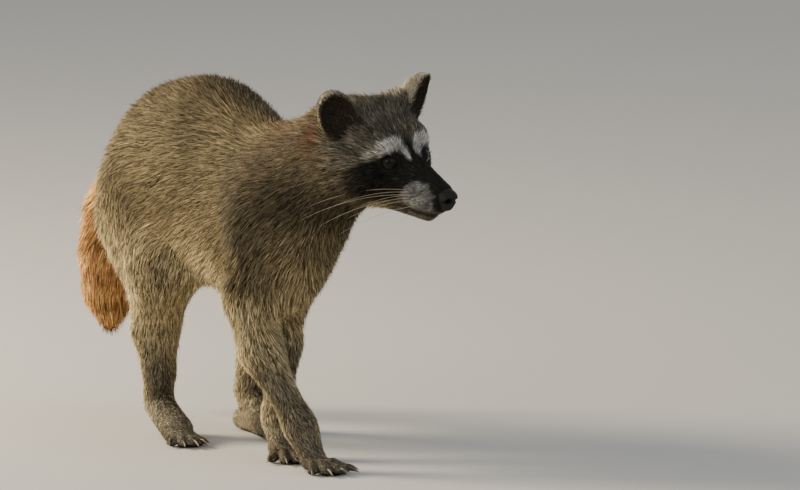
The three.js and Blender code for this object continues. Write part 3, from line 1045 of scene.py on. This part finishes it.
# ---- Skin ----
fine = 1.15
wide = 2.0
axes = [
    spaced(-140, 352, (228, 352, fine), step=wide),
    spaced(-72, 92, (-18, 92, fine), step=wide),
    spaced(-3, 290, (-3, 22, fine * 1.2), (188, 290, fine), step=wide),
]
points, quads = surface(skin, axes, 14)
points = settle(skin, points, 0.0, 1.0, 0.3)
points = keep_in_box(settle(skin, points, 0.0, 0.5, 0.2), 0.1)
normals = vertex_normals(points, quads)
labels = label_of(points)
colours = paint(points, normals, labels)

limb_parts = {"front": ("upper_arm", "forearm", "hand"), "hind": ("thigh", "shin", "foot")}
flesh_nodes = ["head", "neck", "trunk", "tail", "ear_left", "ear_right"]
for leg_name in legs:
    flesh_nodes += [f"{leg_name}_{part}" for part in limb_parts[leg_name.split("_")[0]]]

shade_under_coat = 0.6
skin_piece = make_mesh("skin", points, quads, colours * shade_under_coat)
finish_piece(skin_piece, "skin", flesh_nodes)

# ---- Coat ----
coat_share = 0.93  # of the tufts that the densities below give
most_tufts, most_short_tufts = 19000, 47500  # in one piece
short_reach = 5.2  # shorter tufts have one ring fewer
pale_share, dark_share = 0.34, 0.32  # of the tufts: those with paler and with darker tips
bare_lids = (7.2, 5.6)  # half width and half height
bare_nose, bare_nose_radius = (79, 0, -19), 7
ruff_reach = 6  # added to the reach of the cheeks

# Tufts to a square millimetre, and their reach: a number, or a curve by height or along the head.
densities = {
    TRUNK: 0.92, NECK: 1.0, TAIL: 0.70, EAR: 1.6,
    HEAD: ([-30, 0, 25, 50, 80], [0.7, 1.0, 1.7, 2.1, 2.4]),
    FIRST_LEG: ([0, 20, 40, 80, 130], [1.6, 1.4, 1.1, 0.85, 0.7]),
}
reaches = {
    TRUNK: 16, NECK: 15, EAR: 4.2,
    TAIL: ([50, 62, 80, 110], [8, 11, 19, 24]),
    HEAD: ([-30, 0, 25, 45, 80], [20, 12, 6, 3.6, 2.0]),
    FIRST_LEG: ([0, 12, 24, 45, 80, 130], [2.2, 3.2, 5.2, 7.5, 12, 16]),
}
widths = ([2, 4, 8, 14, 24], [0.38, 0.46, 0.60, 0.76, 1.05])  # by reach


def by_part(p, q, labels, table):
    """A measure for each point; the legs share one row of the table."""
    rows = np.where((labels >= FIRST_LEG) & (labels < EAR), FIRST_LEG, labels)
    value = np.zeros(len(p))
    for part, measure in table.items():
        if isinstance(measure, tuple):
            measure = np.interp(q[:, 0] if part == HEAD else p[:, 2], *measure)
        value = np.where(rows == part, measure, value)
    return value


q = to_head(points)
density = by_part(points, q, labels, densities)
for side in (LEFT, RIGHT):
    e = to_eye(q, side)
    near_eye = (length_of(e) < eye_radius + 2.4) & (e[:, 2] > 1.0)
    density[near_eye & (np.hypot(e[:, 0] / bare_lids[0], e[:, 1] / bare_lids[1]) < 1)] = 0
density[(points[:, 2] < 2.2) & (normals[:, 2] < -0.2)] = 0  # soles
density[length_of(q - bare_nose) < bare_nose_radius] = 0
density *= coat_share

root, lift = scatter(points, quads, normals, density)
label = label_of(root)
q = to_head(root)
x_head = q[:, 0]
count = len(root)

lie = lie_of(root, lift)
ears = label == EAR
lie[ears] = ear_lie(root[ears], lift[ears])

head_here = label == HEAD
ruff = ramp(np.abs(q[:, 1]), 26, 38) * ramp(q[:, 2], 6, -10) * ramp(x_head, 30, 10)
reach = by_part(root, q, label, reaches) + ruff_reach * ruff * head_here
reach *= np.clip(random.normal(1, 0.16, count), 0.6, 1.5)
width = np.interp(reach, *widths) * np.clip(random.normal(1, 0.22, count), 0.55, 1.7)

depth_here = coat_depth(root, q)
depth_here[ears] = 0.9
middle = root + lie * (reach * 0.5)[:, None] + lift * (depth_here * 0.45)[:, None]
tip = root + lie * reach[:, None] + lift * (depth_here * 0.8)[:, None]
loose = random.random(count)
settled = ~ears & (root[:, 2] > 14)  # their middle and tip lie at a share of the coat's depth
straying, stray_height = 0.12, 2.2  # share of tips that stand out of the coat, and how far
for target, share, spread in ((middle, 0.52, 0.12), (tip, 0.16, 0.22)):
    moved = target[settled]
    depth = coat_depth(moved, to_head(moved))
    level = -depth * np.clip(share + spread * (loose[settled] - 0.5) * 2, 0.0, 1.0)
    if target is tip:
        strays = random.random(len(moved)) < straying
        strays &= (reach[settled] > 7) & (label[settled] != TAIL)
        level = np.where(strays, stray_height * random.random(len(moved)), level)
    target[settled] = settle(flesh, moved, level, 9.0, 0.6)
tip = keep_in_box(tip)
middle = keep_in_box(middle)
start = root - lift * np.minimum(0.6, reach * 0.12)[:, None]

# A tuft takes the colour of the place that its outer part covers.
seen = np.where(ears[:, None], root, root + lie * (0.6 * reach)[:, None])
base = paint(seen, lift, label)
kind = random.random(count)
value = np.exp(random.normal(0, 0.62, count))
not_black = np.clip(base.mean(axis=1) / 0.03 - 0.6, 0.0, 1.0)
grizzle = np.where(head_here, np.interp(x_head, [0, 30, 60], [0.9, 0.6, 0.35]), 1.0) * not_black
grizzle[ears] = 0.35
middle_colour = base * value[:, None]
tip_colour = middle_colour * 1.15
pale_tip = kind < pale_share
dark_tip = kind > 1 - dark_share
warm = base / np.maximum(base.max(axis=1), 1e-4)[:, None]
brighter = np.minimum(3.4, 0.8 / np.maximum(base.max(axis=1), 1e-4))
pale_of = base * brighter[:, None] + warm * 0.03
tip_colour[pale_tip] = mix(tip_colour, pale_of, 0.85 * grizzle)[pale_tip]
middle_colour[pale_tip] = mix(middle_colour, pale_of * 0.7, 0.45 * grizzle)[pale_tip]
tip_colour[dark_tip] = mix(tip_colour, tip_colour * 0.16, 0.9 * grizzle)[dark_tip]
root_colour = base * 0.42

colour = np.stack((root_colour, middle_colour, tip_colour), axis=1)
spine = np.stack((start, middle, tip), axis=1)
tufts = dict(root=root, spine=spine, width=width, normal=lift, colour=colour)


def part_of(tufts, here, short=False):
    """Some of the tufts; short ones lose their middle."""
    some = {key: value[here] for key, value in tufts.items()}
    if short:
        some["spine"] = some["spine"][:, [0, 2]]
        some["colour"] = np.stack((some["colour"][:, 1] * 0.8, some["colour"][:, 2]), axis=1)
    return some


def add_coat(name, here, material, short=False):
    """One or more pieces, split along X so that each stays small."""
    here = np.flatnonzero(here)
    here = here[np.argsort(root[here, 0])]
    parts = math.ceil(len(here) / (most_short_tufts if short else most_tufts))
    for index, some in enumerate(np.array_split(here, parts)):
        piece_name = f"{name}_{index + 1}" if parts > 1 else name
        piece = build_tufts(piece_name, part_of(tufts, some, short), label[some])
        finish_piece(piece, material)


short = reach < short_reach
add_coat("trunk_coat", label == TRUNK, "body_fur")
add_coat("neck_coat", label == NECK, "body_fur")
add_coat("tail_coat", label == TAIL, "tail_fur")
add_coat("head_coat", head_here & ~short, "face_fur")
add_coat("face_coat", head_here & short, "face_fur", short=True)
add_coat("ear_coat", ears, "ear_fur", short=True)
for index, leg_name in enumerate(legs):
    here = label == FIRST_LEG + index
    add_coat(f"{leg_name}_coat", here & ~short, "body_fur")
    add_coat(f"{leg_name}_foot_coat", here & short, "body_fur", short=True)

# ---- Eyes ----
eye_rings, eye_sides = 60, 56
iris = np.array((0.010, 0.009, 0.0075))
for name, side in (("eye_left", LEFT), ("eye_right", RIGHT)):
    angles = np.radians(np.linspace(0.4, 179.6, eye_rings))
    bulge = 0.35 * ramp(angles, math.radians(46), math.radians(20))
    radius = eye_radius - 0.05 + bulge
    local, faces = turned(radius * np.sin(angles), radius * np.cos(angles), eye_sides)
    world = from_head(local @ eye_axes(side).T + eye_at(side))
    away = np.degrees(np.repeat(angles, eye_sides))
    colour = mix(black * 0.35, iris, ramp(away, 24, 30))
    colour = mix(colour, black, ramp(away, 46, 52))
    piece = make_mesh(name.replace("eye", "eyeball"), world, faces[:, ::-1], colour)
    finish_piece(piece, "eye", [name])

# ---- Nose ----
nose_x, _, nose_z = nose_tip
nose_body = blend(
    4,
    blob((nose_x - 7.5, 0, nose_z + 1), (7.8, 7.9, 6.4)),
    blob((nose_x - 8.5, 0, nose_z - 4.8), (6, 4.5, 4.5)),
)
nostrils = blend(
    1.5,
    *pair(lambda s: blob((nose_x - 2.4, 3.4 * s, nose_z + 0.6), (3.6, 1.9, 1.7))),
    *pair(lambda s: bone(
        (nose_x - 2.8, 4.2 * s, nose_z - 0.4), (nose_x - 5.5, 8.2 * s, nose_z - 1.6), 0.9, 0.6
    )),
)


def nose_skin(q):
    """The pad with its groove, its grain and its nostrils, in the head's frame."""
    value = nose_body(q) + 0.15
    groove = bump_of(q[:, 1] / 0.55) * ramp(q[:, 2], nose_z + 1.5, nose_z - 1.5)
    value = value + 0.7 * groove + 0.10 * noise(q, 1.1, 31)
    return soft_max(1.0, value, -nostrils(q))


nose_ends = ((nose_x - 18, nose_x + 2), (-11, 11), (nose_z - 13, nose_z + 11))
nose_axes = [spaced(low, high, step=0.5) for low, high in nose_ends]
local, faces = surface(nose_skin, nose_axes, 5)
local = settle(nose_skin, local, 0.0, 0.4, 0.1)
# painted shade: darker inside the nostrils
nostril_shade = ramp(-nostrils(local), -0.8, 0.4)
colour = mix(black * 0.9, black * 0.3, nostril_shade)
nose = make_mesh("nose_pad", from_head(local), faces, colour)
finish_piece(nose, "nose", ["nose"])

# ---- Claws ----
claw_sides = 10
for leg_name, leg in legs.items():
    foot = f"{leg_name}_{'foot' if 'heel' in leg else 'hand'}"
    claws = []
    for _, _, root_at, angle, _ in digits_of(leg):
        t = np.linspace(-0.22, 1, 12)
        radius = claw_radius * np.clip(1 - np.clip(t, 0, 1) ** 1.6, 0.03, 1) * 0.92
        local, faces = turned(radius, t, claw_sides)
        along = np.repeat(t, claw_sides)
        thick = local[:, :2] * (0.72, 1.2)
        forward = along * claw_length * 0.98
        drop = -2.6 * np.clip(along, 0, 1) ** 2
        c, s = math.cos(angle), math.sin(angle)
        x = forward * c - thick[:, 0] * s
        y = forward * s + thick[:, 0] * c
        world = np.stack((x, y, drop + thick[:, 1]), axis=1) + root_at
        world[:, 2] = np.maximum(world[:, 2], 0.05)
        claws.append((world, faces, mix(dark * 1.6, buff * 0.55, ramp(along, 0.35, 1.0))))
    claw_nodes = [f"{foot}_claw_{i + 1}" for i in range(len(claws))]
    finish_piece(make_joined(f"{foot}_claws", claws), "claw", claw_nodes)

# ---- Whiskers ----
whiskers_a_side = 7
whisker_radius, whisker_rings, whisker_sides = 0.15, 14, 5
whiskers = []
for side in (LEFT, RIGHT):
    for number in range(whiskers_a_side):
        row, place = divmod(number, 3)  # rows from the top; places from the front
        base_at = np.array((64 - 7.5 * place, (10.5 + 1.1 * place) * side, -17.5 - 3.6 * row))
        reach_out = 46 + 9 * place + 4 * row + 4 * random.random()
        spread_out = (0.42 if side == RIGHT else 0.16) + 0.08 * random.random()
        fall = (0.0, -0.12, -0.24)[row] - 0.10 * random.random()
        t = np.linspace(0, 1, whisker_rings)[:, None]
        ahead = np.array((-1.0, spread_out * side * 1.6, fall))
        bend = np.array((-0.12, -0.34 * side * spread_out, -0.36)) * t**2
        line = base_at + t * reach_out * ahead * 0.85 + bend * reach_out
        world = keep_in_box(from_head(line))
        radius = whisker_radius * (1 - t) ** 0.6 + 0.03
        along = unit(np.gradient(world, axis=0))
        across = unit(np.cross(along, np.array((0, 0, 1.0))))
        up = np.cross(across, along)
        turns = 2 * np.pi * np.arange(whisker_sides) / whisker_sides
        ring = [world + (across * math.cos(turn) + up * math.sin(turn)) * radius for turn in turns]
        tube = np.stack(ring, axis=1).reshape(-1, 3)
        faces = tube_faces(whisker_rings, whisker_sides)
        whiskers.append((tube, faces, np.tile(cream * 0.5, (len(tube), 1))))
finish_piece(make_joined("whiskers", whiskers), "whisker")

# ---- Floor, lights and camera ----
floor_half = 8  # metres
corner_signs = ((-1, -1), (1, -1), (1, 1), (-1, 1))
floor_corners = [(x * floor_half, y * floor_half, 0) for x, y in corner_signs]
floor_mesh = bpy.data.meshes.new("floor")
floor_mesh.from_pydata(floor_corners, [], [(0, 1, 2, 3)])
floor = add_object("floor", floor_mesh)
floor_material, floor_tree, floor_shader = new_material("floor", 0.9, 0.1)
set_inputs(floor_shader, {"Base Color": (0.62, 0.60, 0.56, 1)})
add_bump(floor_tree, floor_shader, add_noise(floor_tree, 40, 4), 0.0004)
floor_mesh.materials.append(floor_material)

world = bpy.data.worlds.new("studio")
bpy.context.scene.world = world
world.use_nodes = True
sky = {"Color": (0.80, 0.84, 0.90, 1), "Strength": 0.55}
set_inputs(world.node_tree.nodes["Background"], sky)

view_azimuth, view_elevation = 66, 8  # degrees
lit_height = 0.14  # where the lights point, in metres above the floor
lights = {
    # metres to the right, towards the camera and up; the disk's size in metres; watts; colour
    "key": ((-1.7, -0.45, 1.0), 0.8, 78, (1.0, 0.86, 0.62)),
    "fill": ((1.2, 1.6, 0.9), 1.6, 6, (0.95, 0.97, 1.0)),
    "front": ((-1.1, 1.8, 0.8), 1.4, 13, (1.0, 0.95, 0.86)),
}
camera_distance = 12  # metres
focal_pixels = 16667
picture_width, picture_height = 800, 490  # pixels
origin_pixel = (182, 427)  # where the picture shows the origin of the animal's frame
sensor_width = 36


def aim_at(thing, place, target):
    """Looks from the place to the target, upright."""
    thing.location = place
    thing.rotation_mode = "QUATERNION"
    thing.rotation_quaternion = (target - place).to_track_quat("-Z", "Y")


azimuth, elevation = math.radians(view_azimuth), math.radians(view_elevation)
right = Vector((math.cos(azimuth), math.sin(azimuth), 0))
back = Vector((
    math.sin(azimuth) * math.cos(elevation),
    -math.cos(azimuth) * math.cos(elevation),
    math.sin(elevation),
))
upward = back.cross(right)
for name, ((aside, nearer, higher), size, power, colour) in lights.items():
    light = bpy.data.lights.new(name, "AREA")
    light.shape = "DISK"
    light.size = size
    light.energy = power
    light.color = colour
    place = right * aside + back * nearer + upward * higher
    aim_at(add_object(name, light), place, Vector((0, 0, lit_height)))

camera_data = bpy.data.cameras.new("camera")
camera_data.sensor_width = sensor_width
camera_data.lens = focal_pixels / picture_width * sensor_width
camera_data.clip_end = 100
camera = add_object("camera", camera_data)
bpy.context.scene.camera = camera
origin = Vector(to_row(np.zeros(3)))
pixel = camera_distance / focal_pixels  # metres at the origin
aim = origin + right * pixel * (picture_width / 2 - origin_pixel[0])
aim += upward * pixel * (origin_pixel[1] - picture_height / 2)
aim_at(camera, origin + back * camera_distance, aim)
